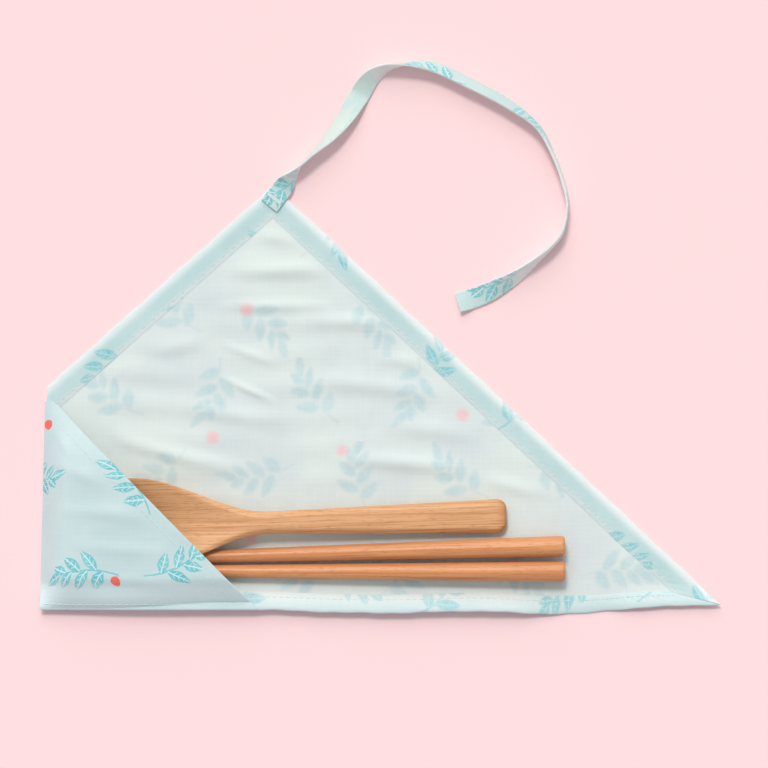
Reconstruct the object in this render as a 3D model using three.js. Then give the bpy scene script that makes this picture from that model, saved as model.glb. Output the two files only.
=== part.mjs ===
// Cutlery pouch: a triangular cloth wrap whose left corner is turned over into a sewn pocket, with a ribbon
// tie at the apex and a spoon and two chopsticks in the pocket. It lies open on a table, seen from above:
// +X runs along the bottom edge to the right corner, +Y up to the apex, +Z off the table.
import * as THREE from 'three';

// Driving sizes, in millimetres and degrees

// Cloth
const CLOTH = 0.5;
const LAYER_GAP = 0.1;
const HEM_THICKNESS = 0.7;
const LEG_HEM_WIDTH = 10;
const BOTTOM_HEM_WIDTH = 7;
const MITRE_GAP = 0.2;
const FOLD_GAP = 0.3;
const LEFT_EDGE_HEIGHT = 99;
const LEFT_EDGE_LEAN = 2.5;
const FLAP_HEIGHT = 90.5;
const APEX_ACROSS = 104;
const TAIL_ROOM = 11;
const TAIL_LENGTH = 58;
const CORNER_BLUNT = 4;

// Pocket
const POCKET_LENGTH = 97;
const MOUTH_DROP = 6;
const MOUTH_CORNER = 3;
const MOUTH_HEM_WIDTH = 8;
const DRAW_OUT_ROOM = 1.3;
const SEAM_BAND = 3;

// Chopsticks
const CHOPSTICK_LENGTH = 224;
const CHOPSTICK_BUTT = 9.3;
const CHOPSTICK_TIP = 4.2;
const CHOPSTICK_INSET = 11;
const CHOPSTICK_LIFT = 1.2;
const CHOPSTICK_FROM_EDGE = 16.7;
const BUTT_GAP = 2.2;
const TIP_GAP = 0.5;
const BUTT_ROUND = 1.6;

// Spoon
const SPOON_LENGTH = 195;
const SPOON_INSET = 14;
const BOWL_LENGTH = 88;
const BOWL_WIDEST = 28;
const BOWL_WIDTH = 43.6;
const BOWL_DEPTH = 7.4;
const BOWL_WALL = 2.4;
const BOWL_TIP_DROP = 1.8;
const BOWL_FROM_CHOPSTICK = 14.8;
const NECK_WIDTH = 9.9;
const NECK_RISE = 4.2;
const HANDLE_WIDTH = 15.4;
const HANDLE_THICKNESS = 6;
const HANDLE_CORNER = 4.5;
const HANDLE_END_ROUND = 1.5;
const HANDLE_GAP = 1.1;

// Tie
const TIE_WIDTH = 9;
const TIE_THICKNESS = 1.2;
const TIE_ANGLE = 52;
const TAB_SHIFT = 5;
const TAB_ON_CLOTH = 11;
const TAB_REACH = 5;
const BAR_TACK_LENGTH = 7;
const BAR_TACK_WIDTH = 2;
const BAR_TACK_HEIGHT = 0.4;
const BAR_TACK_INSET = 7;

// What rests on something keeps this much air
const SEAT = 0.3;

// The free ribbon from the tab to its end: across, up, and its turn about its own length. At 0 it lies with
// its print up, at 90 and 270 it stands on an edge, and at 180 its plain side is up.
const TIE_ROUTE = [
  [116.8, 199, 92],
  [122.5, 204.5, 100],
  [130, 212, 124],
  [137, 221, 148],
  [142.5, 230, 176],
  [149, 239, 222],
  [159, 243.5, 265],
  [174.5, 243.5, 302],
  [191.5, 236, 303],
  [209.5, 226.5, 300],
  [223, 216, 287],
  [230, 203, 280],
  [234.5, 190.5, 279],
  [236.2, 180, 276],
  [233.5, 168, 276],
  [225.5, 159, 281],
  [213, 148.9, 308],
  [202, 142.6, 338],
  [194, 139.3, 358],
  [187, 137.2, 376],
];

// Worked-out levels and places
const HEM_BOTTOM = CLOTH + LAYER_GAP;
const HEM_TOP = HEM_BOTTOM + HEM_THICKNESS;
const POCKET_FOOT = HEM_TOP + LAYER_GAP;
const BED = CLOTH + SEAT;

const buttAcross = CHOPSTICK_INSET + CHOPSTICK_LENGTH;
const tailFoldAcross = buttAcross + TAIL_ROOM;
const bodyLength = tailFoldAcross + TAIL_LENGTH;
const apexHeight = LEFT_EDGE_HEIGHT + FLAP_HEIGHT;
const pocketHeight = LEFT_EDGE_HEIGHT - MOUTH_DROP;

const footLeft = new THREE.Vector2(0, 0);
const footRight = new THREE.Vector2(bodyLength, 0);
const bluntRight = new THREE.Vector2(bodyLength, CORNER_BLUNT);
const apex = new THREE.Vector2(APEX_ACROSS, apexHeight);
const shoulder = new THREE.Vector2(LEFT_EDGE_LEAN, LEFT_EDGE_HEIGHT);
const outline = [footLeft, footRight, bluntRight, apex, shoulder];

const printed = new THREE.MeshStandardMaterial({ color: 0xb9dcdd, roughness: 0.9, metalness: 0 });
const inside = new THREE.MeshStandardMaterial({ color: 0xdde8e4, roughness: 0.92, metalness: 0 });
const thread = new THREE.MeshStandardMaterial({ color: 0xe6efee, roughness: 0.8, metalness: 0 });
const spoonWood = new THREE.MeshStandardMaterial({ color: 0xdda878, roughness: 0.55, metalness: 0 });
const chopstickWood = new THREE.MeshStandardMaterial({ color: 0xdf9a68, roughness: 0.45, metalness: 0 });

const pouch = new THREE.Group();

function add(name, geometry, material) {
  const mesh = new THREE.Mesh(geometry, material);
  mesh.name = name;
  pouch.add(mesh);
  return mesh;
}

const { clamp, lerp, degToRad } = THREE.MathUtils;
const ease = (t) => THREE.MathUtils.smoothstep(t, 0, 1);
const upTo = (count) => [...Array(count).keys()];

// The part of a convex outline that lies left of the line through a point in a direction
function clip(points, through, direction) {
  const side = (point) => direction.cross(point.clone().sub(through));
  const kept = [];
  points.forEach((point, i) => {
    const next = points[(i + 1) % points.length];
    const here = side(point);
    const there = side(next);
    if (here >= 0) {
      kept.push(point);
    }
    if (here * there < 0) {
      kept.push(point.clone().lerp(next, here / (here - there)));
    }
  });
  return kept;
}

function plate(points, bottom, thickness) {
  const options = { depth: thickness, bevelEnabled: false };
  const geometry = new THREE.ExtrudeGeometry(new THREE.Shape(points), options);
  return geometry.translate(0, 0, bottom);
}

// A closed geometry with its faces turned outwards
function closed(points, faces) {
  const cross = new THREE.Vector3();
  const wedge = ([a, b, c]) => points[a].dot(cross.crossVectors(points[b], points[c]));
  const volume = faces.reduce((sum, face) => sum + wedge(face), 0);
  const outward = volume > 0 ? faces : faces.map(([a, b, c]) => [a, c, b]);
  const geometry = new THREE.BufferGeometry().setFromPoints(points);
  geometry.setIndex(outward.flat());
  geometry.computeVertexNormals();
  return geometry;
}

// A skin over rings of equally many points, closed by a point at each end
function loft(startPoint, rings, endPoint) {
  const count = rings[0].length;
  const points = [startPoint, ...rings.flat(), endPoint];
  const last = points.length - 1;
  const faces = [];
  for (let j = 0; j < count; j += 1) {
    const k = (j + 1) % count;
    faces.push([0, 1 + k, 1 + j]);
    rings.slice(1).forEach((ring, i) => {
      const near = 1 + i * count;
      const far = near + count;
      faces.push([near + j, near + k, far + k], [near + j, far + k, far + j]);
    });
    faces.push([last, last - count + j, last - count + k]);
  }
  return closed(points, faces);
}

// A sheet of one thickness whose underside goes through a grid of points
function sheet(grid, thickness) {
  const rows = grid.length;
  const columns = grid[0].length;
  const under = grid.flat();
  const over = under.map((point) => point.clone().setZ(point.z + thickness));
  const top = under.length;
  const at = (i, j) => i * columns + j;
  const faces = [];
  for (let i = 0; i + 1 < rows; i += 1) {
    for (let j = 0; j + 1 < columns; j += 1) {
      const [a, b, c, d] = [at(i, j), at(i + 1, j), at(i + 1, j + 1), at(i, j + 1)];
      faces.push([a, c, b], [a, d, c]);
      faces.push([a + top, b + top, c + top], [a + top, c + top, d + top]);
    }
  }
  const rim = [
    ...upTo(columns - 1).map((j) => at(0, j)),
    ...upTo(rows - 1).map((i) => at(i, columns - 1)),
    ...upTo(columns - 1).map((j) => at(rows - 1, columns - 1 - j)),
    ...upTo(rows - 1).map((i) => at(rows - 1 - i, 0)),
  ];
  rim.forEach((a, i) => {
    const b = rim[(i + 1) % rim.length];
    faces.push([a, a + top, b + top], [a, b + top, b]);
  });
  return closed([...under, ...over], faces);
}

// Fold lines: the flap turns at the shoulder, the tail just past the ends of the chopsticks
const rightwards = new THREE.Vector2(1, 0);
const leftwards = new THREE.Vector2(-1, 0);
const upwards = new THREE.Vector2(0, 1);
const downwards = new THREE.Vector2(0, -1);
const belowFlap = new THREE.Vector2(0, LEFT_EDGE_HEIGHT - FOLD_GAP / 2);
const aboveFlap = new THREE.Vector2(0, LEFT_EDGE_HEIGHT + FOLD_GAP / 2);
const leftOfTail = new THREE.Vector2(tailFoldAcross - FOLD_GAP / 2, 0);
const rightOfTail = new THREE.Vector2(tailFoldAcross + FOLD_GAP / 2, 0);

const inBase = (points) => clip(clip(points, belowFlap, leftwards), leftOfTail, upwards);
const inFlap = (points) => clip(points, aboveFlap, rightwards);
const inTail = (points) => clip(points, rightOfTail, downwards);

function panels() {
  add('base_panel', plate(inBase(outline), 0, CLOTH), inside);
  add('flap_panel', plate(inFlap(outline), 0, CLOTH), inside);
  add('tail_panel', plate(inTail(outline), 0, CLOTH), inside);
}

// The strip of the outline within a width of the edge from start to end, which has the cloth on its left
function hemStrip(start, end, width) {
  const along = end.clone().sub(start).normalize();
  const inwards = new THREE.Vector2(-along.y, along.x);
  const innerLine = start.clone().addScaledVector(inwards, width);
  return clip(outline, innerLine, along.clone().negate());
}

// Cuts a strip along the line that two hems share at a corner, half the mitre gap back from it
function mitre(points, corner, direction) {
  const aside = new THREE.Vector2(-direction.y, direction.x);
  return clip(points, corner.clone().addScaledVector(aside, MITRE_GAP / 2), direction);
}

function crossing(start, along, otherStart, otherAlong) {
  const step = otherStart.clone().sub(start).cross(otherAlong) / along.cross(otherAlong);
  return start.clone().addScaledVector(along, step);
}

// The direction from a corner to where the inner lines of its two hems meet
function mitreLine(corner, before, beforeWidth, after, afterWidth) {
  const inner = (edge, width) => {
    const along = edge.end.clone().sub(edge.start).normalize();
    const inwards = new THREE.Vector2(-along.y, along.x);
    return { point: edge.start.clone().addScaledVector(inwards, width), along };
  };
  const one = inner(before, beforeWidth);
  const other = inner(after, afterWidth);
  return crossing(one.point, one.along, other.point, other.along).sub(corner).normalize();
}

function hems() {
  const bottom = { start: footLeft, end: footRight };
  const right = { start: bluntRight, end: apex };
  const left = { start: apex, end: shoulder };
  const bluntMiddle = footRight.clone().lerp(bluntRight, 0.5);
  const tailMitre = mitreLine(bluntMiddle, bottom, BOTTOM_HEM_WIDTH, right, LEG_HEM_WIDTH);
  const apexMitre = mitreLine(apex, right, LEG_HEM_WIDTH, left, LEG_HEM_WIDTH);
  const bottomStrip = mitre(hemStrip(footLeft, footRight, BOTTOM_HEM_WIDTH), bluntMiddle, tailMitre);
  const rightStrip = mitre(
    mitre(hemStrip(bluntRight, apex, LEG_HEM_WIDTH), bluntMiddle, tailMitre.clone().negate()),
    apex,
    apexMitre,
  );
  const leftStrip = mitre(hemStrip(apex, shoulder, LEG_HEM_WIDTH), apex, apexMitre.clone().negate());
  const hem = (name, points) => add(name, plate(points, HEM_BOTTOM, HEM_THICKNESS), printed);
  hem('base_bottom_hem', inBase(bottomStrip));
  hem('tail_bottom_hem', inTail(bottomStrip));
  hem('tail_right_hem', inTail(rightStrip));
  hem('base_right_hem', inBase(rightStrip));
  hem('flap_right_hem', inFlap(rightStrip));
  hem('flap_left_hem', inFlap(leftStrip));
  hem('corner_hem', inBase(leftStrip));
}

// A chopstick is a long cone with a rounded butt, lying on the cloth with its butt a little raised
function chopstickLine(tipUp, buttUp) {
  const tip = new THREE.Vector3(CHOPSTICK_INSET, tipUp, BED + CHOPSTICK_TIP / 2);
  const butt = new THREE.Vector3(buttAcross, buttUp, BED + CHOPSTICK_LIFT + CHOPSTICK_BUTT / 2);
  return { tip, butt };
}

const rearSpacing = CHOPSTICK_BUTT + BUTT_GAP;
const frontLine = chopstickLine(CHOPSTICK_FROM_EDGE, CHOPSTICK_FROM_EDGE);
const rearLine = chopstickLine(
  CHOPSTICK_FROM_EDGE + CHOPSTICK_TIP + TIP_GAP,
  CHOPSTICK_FROM_EDGE + rearSpacing,
);

function chopstick(name, { tip, butt }) {
  const tipRadius = CHOPSTICK_TIP / 2;
  const buttRadius = CHOPSTICK_BUTT / 2;
  const length = tip.distanceTo(butt);
  const profile = new THREE.Path();
  profile.moveTo(0, 0);
  profile.absarc(0, tipRadius, tipRadius, -Math.PI / 2, 0, false);
  profile.lineTo(buttRadius, length - BUTT_ROUND);
  profile.absarc(buttRadius - BUTT_ROUND, length - BUTT_ROUND, BUTT_ROUND, 0, Math.PI / 2, false);
  profile.lineTo(0, length);
  const points = profile.getPoints(5);
  points[0].x = 0;
  const sides = 24;
  const mesh = add(name, new THREE.LatheGeometry(points, sides), chopstickWood);
  mesh.position.copy(tip);
  mesh.quaternion.setFromUnitVectors(new THREE.Vector3(0, 1, 0), butt.clone().sub(tip).normalize());
}

// Spoon, in its own frame: along from the bowl's tip, aside from the centre line, and heights from the
// bowl's lowest point
const DISH_POWER = 1.8;
const SQUARENESS = 0.7;
const ringSteps = 24;
const squared = (share) => Math.sign(share) * Math.abs(share) ** SQUARENESS;

function spoonHalfWidth(along) {
  const bowl = BOWL_WIDTH / 2;
  if (along < BOWL_WIDEST) {
    return bowl * Math.sqrt(1 - (1 - along / BOWL_WIDEST) ** 2);
  }
  const onHandle = clamp((along - BOWL_LENGTH) / (SPOON_LENGTH - BOWL_LENGTH), 0, 1);
  const handle = lerp(NECK_WIDTH, HANDLE_WIDTH, onHandle) / 2;
  const width = lerp(bowl, handle, ease((along - BOWL_WIDEST) / (BOWL_LENGTH - BOWL_WIDEST)));
  const intoCorner = Math.max(0, along - (SPOON_LENGTH - HANDLE_CORNER));
  return width - HANDLE_CORNER + Math.sqrt(HANDLE_CORNER ** 2 - intoCorner ** 2);
}

// The middle surface: its height on the centre line, how far its rim stands above that, and the wall's
// thickness
function spoonSection(along, handleEndDrop) {
  const bottom = BOWL_WALL / 2;
  const rim = bottom + BOWL_DEPTH;
  if (along < BOWL_WIDEST) {
    const toTip = (1 - along / BOWL_WIDEST) ** 2;
    const tipHeight = rim - BOWL_TIP_DROP;
    const centre = lerp(bottom, tipHeight, toTip);
    return { centre, dish: lerp(rim, tipHeight, toTip) - centre, wall: BOWL_WALL };
  }
  const toNeck = ease((along - BOWL_WIDEST) / (BOWL_LENGTH - BOWL_WIDEST));
  const neck = bottom + NECK_RISE;
  const onHandle = clamp((along - BOWL_LENGTH) / (SPOON_LENGTH - BOWL_LENGTH), 0, 1);
  const centre = lerp(bottom, neck, toNeck) - handleEndDrop * onHandle;
  const dish = lerp(BOWL_DEPTH, 0, toNeck);
  return { centre, dish, wall: lerp(BOWL_WALL, HANDLE_THICKNESS, toNeck) };
}

function spoonUnderside(along, aside) {
  const { centre, dish, wall } = spoonSection(along, 0);
  const share = clamp(Math.abs(aside) / spoonHalfWidth(along), 0, 1);
  const turn = share ** (1 / SQUARENESS);
  return centre + dish * share ** DISH_POWER - (wall / 2) * (1 - turn ** 2) ** (SQUARENESS / 2);
}

const spoonTip = new THREE.Vector2(SPOON_INSET, rearLine.tip.y + BOWL_FROM_CHOPSTICK);
const spoonEndUp = rearLine.butt.y + CHOPSTICK_BUTT / 2 + HANDLE_GAP + HANDLE_WIDTH / 2;
const spoonTurn = Math.asin((spoonEndUp - spoonTip.y) / SPOON_LENGTH);
const spoonAlong = new THREE.Vector2(Math.cos(spoonTurn), Math.sin(spoonTurn));
const spoonAside = new THREE.Vector2(-spoonAlong.y, spoonAlong.x);

// The height at which the bowl rests on the chopsticks under it
function restOn({ tip, butt }) {
  const sideStep = 0.05;
  let height = BED;
  for (let along = 1; along < BOWL_LENGTH; along += 1) {
    const half = spoonHalfWidth(along);
    for (let share = -1; share <= 1; share += sideStep) {
      const onLine = spoonTip.clone().addScaledVector(spoonAlong, along);
      const place = onLine.addScaledVector(spoonAside, share * half);
      const portion = (place.x - tip.x) / (butt.x - tip.x);
      const radius = lerp(CHOPSTICK_TIP, CHOPSTICK_BUTT, portion) / 2;
      const offset = place.y - lerp(tip.y, butt.y, portion);
      if (portion > 0 && Math.abs(offset) < radius) {
        const crown = lerp(tip.z, butt.z, portion) + Math.sqrt(radius ** 2 - offset ** 2);
        height = Math.max(height, crown + SEAT - spoonUnderside(along, share * half));
      }
    }
  }
  return height;
}

const spoonHeight = Math.max(restOn(frontLine), restOn(rearLine));

function spoon() {
  const neckUnder = spoonHeight + BOWL_WALL / 2 + NECK_RISE - HANDLE_THICKNESS / 2;
  const handleEndDrop = neckUnder - BED;
  const quarter = Math.PI / 2;
  const handleEnd = SPOON_LENGTH - HANDLE_CORNER;
  const tipSteps = 9;
  const flareSteps = 14;
  const handleSteps = 5;
  const cornerSteps = 6;
  const intoCorner = (share) => handleEnd + HANDLE_CORNER * Math.sin(share * quarter);
  const stations = [
    ...upTo(tipSteps).map((i) => BOWL_WIDEST * (1 - Math.cos(((i + 1) / tipSteps) * quarter))),
    ...upTo(flareSteps).map((i) => lerp(BOWL_WIDEST, BOWL_LENGTH, (i + 1) / flareSteps)),
    ...upTo(handleSteps).map((i) => lerp(BOWL_LENGTH, handleEnd, (i + 1) / handleSteps)),
    ...upTo(cornerSteps - 1).map((i) => intoCorner((i + 1) / cornerSteps)),
  ];
  const rings = stations.map((along) => {
    const half = spoonHalfWidth(along);
    const { centre, dish, wall } = spoonSection(along, handleEndDrop);
    const thinning = clamp((SPOON_LENGTH - along) / HANDLE_END_ROUND, 0, 1);
    const thick = wall * Math.sqrt(1 - (1 - thinning) ** 2);
    return upTo(ringSteps).map((j) => {
      const angle = (j / ringSteps) * 2 * Math.PI;
      const across = squared(Math.cos(angle));
      const dished = centre + dish * Math.abs(across) ** DISH_POWER;
      const height = dished + (thick / 2) * squared(Math.sin(angle));
      return new THREE.Vector3(along, half * across, height);
    });
  });
  const tipPoint = new THREE.Vector3(0, 0, spoonSection(0, handleEndDrop).centre);
  const endPoint = new THREE.Vector3(SPOON_LENGTH, 0, spoonSection(SPOON_LENGTH, handleEndDrop).centre);
  const mesh = add('spoon', loft(tipPoint, rings, endPoint), spoonWood);
  mesh.position.set(spoonTip.x, spoonTip.y, spoonHeight);
  mesh.rotation.z = spoonTurn;
}

// The pocket: the turned corner of the cloth, raised over the cutlery and flat along its fold and its seam
const bowlMiddle = spoonTip.clone().addScaledVector(spoonAlong, BOWL_WIDEST);
const bowlRimTop = spoonHeight + BOWL_WALL / 2 + BOWL_DEPTH;
const mouthHemStack = LAYER_GAP + HEM_THICKNESS;
const pocketRoof = bowlRimTop + DRAW_OUT_ROOM + mouthHemStack + SEAT;
const leftRamp = SPOON_INSET - LEFT_EDGE_LEAN / 2;
const seamRamp = bowlMiddle.y - BOWL_WIDTH / 2 - SEAM_BAND;
const upperRamp = pocketHeight - bowlMiddle.y - BOWL_WIDTH / 2;

const foldAcross = (up) => (LEFT_EDGE_LEAN * up) / LEFT_EDGE_HEIGHT;
const mouthFoot = new THREE.Vector2(POCKET_LENGTH, 0);
const mouthTop = new THREE.Vector2(foldAcross(pocketHeight) + MOUTH_CORNER, pocketHeight);

const crown = (t) => Math.sin(clamp(t, 0, 1) * (Math.PI / 2));

function pocketUnderside(across, up) {
  const fromFold = crown((across - foldAcross(up)) / leftRamp);
  const fromSeam = crown((up - SEAM_BAND) / seamRamp);
  const fromTop = crown((pocketHeight - up) / upperRamp);
  return POCKET_FOOT + (pocketRoof - POCKET_FOOT) * fromFold * fromSeam * fromTop;
}

// Points of the pocket's underside, row by row from the seam to the top; the last columns lie over the
// mouth's hem
const mouthSlope = mouthTop.clone().sub(mouthFoot).normalize();
const hemAcross = MOUTH_HEM_WIDTH / mouthSlope.y;
const pocketRows = 26;
const openColumns = 16;
const hemColumns = 3;

function pocketGrid() {
  const crowding = 1.25;
  const grid = [];
  for (let i = 0; i <= pocketRows; i += 1) {
    const mouth = mouthFoot.clone().lerp(mouthTop, (i / pocketRows) ** crowding);
    const fold = foldAcross(mouth.y);
    const hemStart = mouth.x - Math.min(hemAcross, (mouth.x - fold) / 2);
    const row = [];
    for (let j = 0; j < openColumns; j += 1) {
      row.push(lerp(fold, hemStart, (j / openColumns) ** crowding));
    }
    for (let j = 0; j <= hemColumns; j += 1) {
      row.push(lerp(hemStart, mouth.x, j / hemColumns));
    }
    grid.push(row.map((across) => new THREE.Vector3(across, mouth.y, pocketUnderside(across, mouth.y))));
  }
  return grid;
}

// The pocket's cloth, and the hem turned in under its mouth where the cloth stands clear of the base
function pocket() {
  const grid = pocketGrid();
  add('pocket_panel', sheet(grid, CLOTH), printed);
  const clearUnder = HEM_TOP + LAYER_GAP + mouthHemStack;
  const hemRows = grid
    .map((row) => row.slice(openColumns))
    .filter((row) => row.every((point) => point.z > clearUnder))
    .map((row) => row.map((point) => point.clone().setZ(point.z - mouthHemStack)));
  add('pocket_mouth_hem', sheet(hemRows, HEM_THICKNESS), printed);
}

// The rounded edge where the cloth turns from the base up into the pocket
function leftFold() {
  const radius = (POCKET_FOOT + CLOTH) / 2;
  const top = new THREE.Vector2(foldAcross(pocketHeight), pocketHeight);
  const downFold = footLeft.clone().sub(top);
  const section = new THREE.Shape();
  section.absarc(0, radius, radius, Math.PI / 2, (3 * Math.PI) / 2, false);
  const geometry = new THREE.ExtrudeGeometry(section, {
    depth: downFold.length(),
    bevelEnabled: false,
    curveSegments: 8,
  });
  const along = new THREE.Vector3(downFold.x, downFold.y, 0).normalize();
  const up = new THREE.Vector3(0, 0, 1);
  const mesh = add('left_fold', geometry, printed);
  mesh.rotation.setFromRotationMatrix(new THREE.Matrix4().makeBasis(up.clone().cross(along), up, along));
  mesh.position.set(top.x - LAYER_GAP, top.y, 0);
}

// Tie: a tab sewn on the apex, the stitches over it, and the free ribbon
const tieAlong = new THREE.Vector2(Math.cos(degToRad(TIE_ANGLE)), Math.sin(degToRad(TIE_ANGLE)));
const tieAside = new THREE.Vector2(-tieAlong.y, tieAlong.x);
const tieRoot = apex.clone().add(new THREE.Vector2(TAB_SHIFT, 0));

function ribbonStrip(from, to, width) {
  const half = width / 2;
  const corner = (along, aside) =>
    tieRoot.clone().addScaledVector(tieAlong, along).addScaledVector(tieAside, aside);
  return [corner(from, -half), corner(to, -half), corner(to, half), corner(from, half)];
}

function tieTab() {
  const tabBottom = HEM_TOP + LAYER_GAP;
  const overLeftEdge = shoulder.clone().sub(apex);
  const tab = clip(ribbonStrip(-TAB_ON_CLOTH, TAB_REACH, TIE_WIDTH), apex, overLeftEdge);
  add('tie_tab', plate(tab, tabBottom, TIE_THICKNESS), printed);
  const tackStart = -BAR_TACK_INSET - BAR_TACK_WIDTH / 2;
  const tack = ribbonStrip(tackStart, tackStart + BAR_TACK_WIDTH, BAR_TACK_LENGTH);
  const tackBottom = tabBottom + TIE_THICKNESS + LAYER_GAP;
  add('tie_bar_tack', plate(tack, tackBottom, BAR_TACK_HEIGHT), thread);
}

// The ribbon rests on its lower edge: its middle stands as high as its turned section needs
function tieStrap() {
  const strapStart = tieRoot.clone().addScaledVector(tieAlong, TAB_REACH + SEAT);
  const onEdge = 90;
  const route = [[strapStart.x, strapStart.y, onEdge], ...TIE_ROUTE];
  const places = route.map(([across, up]) => new THREE.Vector3(across, up, 0));
  const path = new THREE.CatmullRomCurve3(places, false);
  const spans = route.length - 1;
  const turns = new THREE.SplineCurve(route.map(([, , turn], i) => new THREE.Vector2(i / spans, turn)));
  const steps = 76;
  const rings = [];
  for (let i = 0; i <= steps; i += 1) {
    const middle = path.getPoint(i / steps);
    const along = path.getTangent(i / steps);
    const turn = degToRad(turns.getPoint(i / steps).y);
    const level = new THREE.Vector3(-along.y, along.x, 0);
    const up = new THREE.Vector3(0, 0, 1);
    const wide = level.clone().multiplyScalar(Math.cos(turn)).addScaledVector(up, Math.sin(turn));
    const thin = level.clone().multiplyScalar(-Math.sin(turn)).addScaledVector(up, Math.cos(turn));
    const halfHeight = (Math.abs(wide.z) * TIE_WIDTH + Math.abs(thin.z) * TIE_THICKNESS) / 2;
    middle.z = halfHeight + LAYER_GAP;
    const corner = (w, t) =>
      middle.clone().addScaledVector(wide, w * TIE_WIDTH / 2).addScaledVector(thin, t * TIE_THICKNESS / 2);
    rings.push([corner(-1, -1), corner(1, -1), corner(1, 1), corner(-1, 1)]);
  }
  const middleOf = (ring) => ring[0].clone().lerp(ring[2], 0.5);
  add('tie_strap', loft(middleOf(rings[0]), rings, middleOf(rings[steps])), printed);
}

panels();
hems();
leftFold();
pocket();
tieTab();
chopstick('chopstick_rear', rearLine);
chopstick('chopstick_front', frontLine);
spoon();

// The origin is under the middle of the wrap, on the table; the free ribbon does not count
const box = new THREE.Box3().setFromObject(pouch, true);
const middle = box.getCenter(new THREE.Vector3());
tieStrap();
pouch.position.set(-middle.x, -middle.y, -box.min.z);

export default pouch;
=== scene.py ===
"""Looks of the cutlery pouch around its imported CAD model: a printed cotton wrap with turned hems, a pocket
draped over the cutlery, a ribbon tie, a bamboo spoon and two wooden chopsticks."""

import math

import bmesh
import bpy
import numpy as np
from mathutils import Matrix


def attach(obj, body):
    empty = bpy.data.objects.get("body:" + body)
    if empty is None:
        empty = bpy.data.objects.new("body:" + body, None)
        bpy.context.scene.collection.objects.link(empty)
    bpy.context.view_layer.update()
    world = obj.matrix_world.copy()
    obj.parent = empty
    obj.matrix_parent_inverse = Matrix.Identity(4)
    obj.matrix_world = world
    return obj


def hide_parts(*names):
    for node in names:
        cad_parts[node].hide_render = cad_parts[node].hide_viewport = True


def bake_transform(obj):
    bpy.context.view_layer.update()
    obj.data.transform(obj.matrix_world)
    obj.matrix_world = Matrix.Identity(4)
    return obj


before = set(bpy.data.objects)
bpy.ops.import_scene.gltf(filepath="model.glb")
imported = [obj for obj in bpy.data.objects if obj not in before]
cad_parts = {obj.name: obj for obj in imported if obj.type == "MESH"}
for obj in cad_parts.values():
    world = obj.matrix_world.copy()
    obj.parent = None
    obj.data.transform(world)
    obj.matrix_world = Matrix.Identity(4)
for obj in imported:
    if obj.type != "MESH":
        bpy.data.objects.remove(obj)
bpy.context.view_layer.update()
scene = bpy.context.scene

# Sizes in millimetres: across from the wrap's bottom left corner, up from its bottom edge, height above the
# table. ORIGIN is the frame's own origin in them.
ORIGIN = np.array([151.475, 97.482, 0.0])
UP = np.array([0.0, 0.0, 1.0])
CLOTH = 0.5
FLAP_FOLD = 99.0
TAIL_FOLD = 246.0
BEND = 4.0
SPLIT = 241.0
APEX = np.array([104.0, 189.5])
SHOULDER = np.array([2.5, 99.0])
BOTTOM_TURN = np.array([250.0, 0.0])
TIP_LOW = np.array([304.0, 1.9])
TIP_HIGH = np.array([304.0, 2.1])
LEG_HEM = 10.0
BOTTOM_HEM = 7.0
STITCH_INSET = 1.6
STITCH_LEVEL = 1.05
HEM_SHIFT = 10.0
EDGE_LIFT = 4.8
POCKET_LENGTH = 97.0
POCKET_TOP = 93.0
MOUTH_CORNER = 3.0
SPOON_LENGTH = 195.0
THREAD_RADIUS = 0.2
THREAD_SIDES = 8
# Millimetres of cloth or wood in one unit of the UV map
FLAT_UNIT = 100.0
SHARP_ANGLE = 50


# Camera and light

def link(name, data):
    made = bpy.data.objects.new(name, data)
    scene.collection.objects.link(made)
    return made


# In metres: the camera looks straight down, and the picture is this wide on the table
CAMERA_PLACE = (0.0024, 0.0033, 1.5)
VIEW_WIDTH = 0.3456
KEY_TILT = (30, 9)
WINDOW_TILT = (52, 12)
DAYLIGHT = (1.04, 1.0, 0.965)

camera = link("camera", bpy.data.cameras.new("camera"))
camera.location = CAMERA_PLACE
camera.data.lens = camera.data.sensor_width * CAMERA_PLACE[2] / VIEW_WIDTH
scene.camera = camera
scene.view_settings.view_transform = "Standard"


def sun(name, energy, angle, tilt):
    """A distant light of a given width in degrees, tilted back and to the left from straight above."""
    lamp = link(name, bpy.data.lights.new(name, "SUN"))
    lamp.data.energy = energy
    lamp.data.angle = math.radians(angle)
    lamp.data.color = DAYLIGHT
    lamp.rotation_euler = (math.radians(-tilt[0]), math.radians(-tilt[1]), 0)


sun("key", 1.36, 13, KEY_TILT)
sun("window", 0.95, 44, WINDOW_TILT)


# Node trees

def rgb(red, green, blue):
    """A colour written in sRGB, 0 to 255, as the shader's linear one."""
    share = np.array([red, green, blue]) / 255
    linear = np.where(share <= 0.04045, share / 12.92, ((share + 0.055) / 1.055) ** 2.4)
    return (*linear.tolist(), 1.0)


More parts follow.
